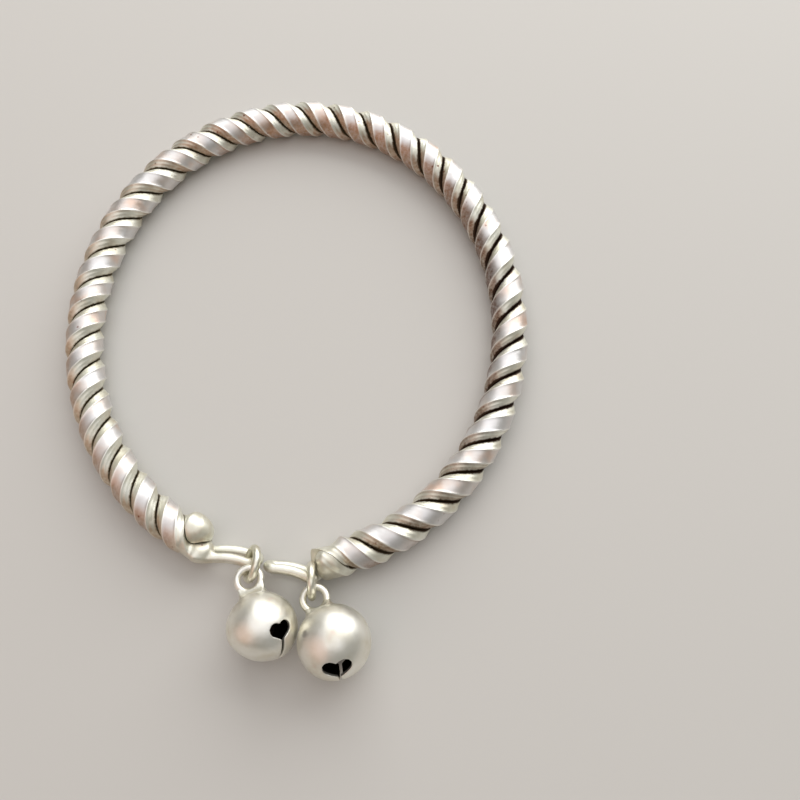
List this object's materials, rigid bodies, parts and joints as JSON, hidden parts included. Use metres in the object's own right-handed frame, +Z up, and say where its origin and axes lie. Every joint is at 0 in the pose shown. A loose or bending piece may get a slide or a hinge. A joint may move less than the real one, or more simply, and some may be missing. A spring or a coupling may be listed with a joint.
{
  "type": "bell bangle",
  "caption": "Open oval bangle of thick silver rope, with an eye at each end that holds a small round jingle bell on a jump ring; it lies flat.",
  "frame": {"origin": "middle of the wrist opening, in the plane that the bangle lies on", "axes": "+Z up, square to the plane of the bangle and along the way a hand goes in; the open ends and the bells face -Y; +X to the right seen from above with the bells nearest"},
  "size_m": [0.071, 0.0936, 0.0099],
  "materials": {
    "twisted_silver": "worn polish, brown tarnish in the grooves",
    "ring_silver": "worn polish",
    "bell_silver": "satin, softly dented",
    "pellet_iron": "dull"
  },
  "bodies": {
    "root": {"eyed_strand": "twisted_silver", "plain_strand": "twisted_silver", "jump_ring_left": "ring_silver", "jump_ring_right": "ring_silver", "bell_left": "bell_silver", "bell_right": "bell_silver", "pellet_left": "pellet_iron", "pellet_right": "pellet_iron"}
  },
  "joints": []
}
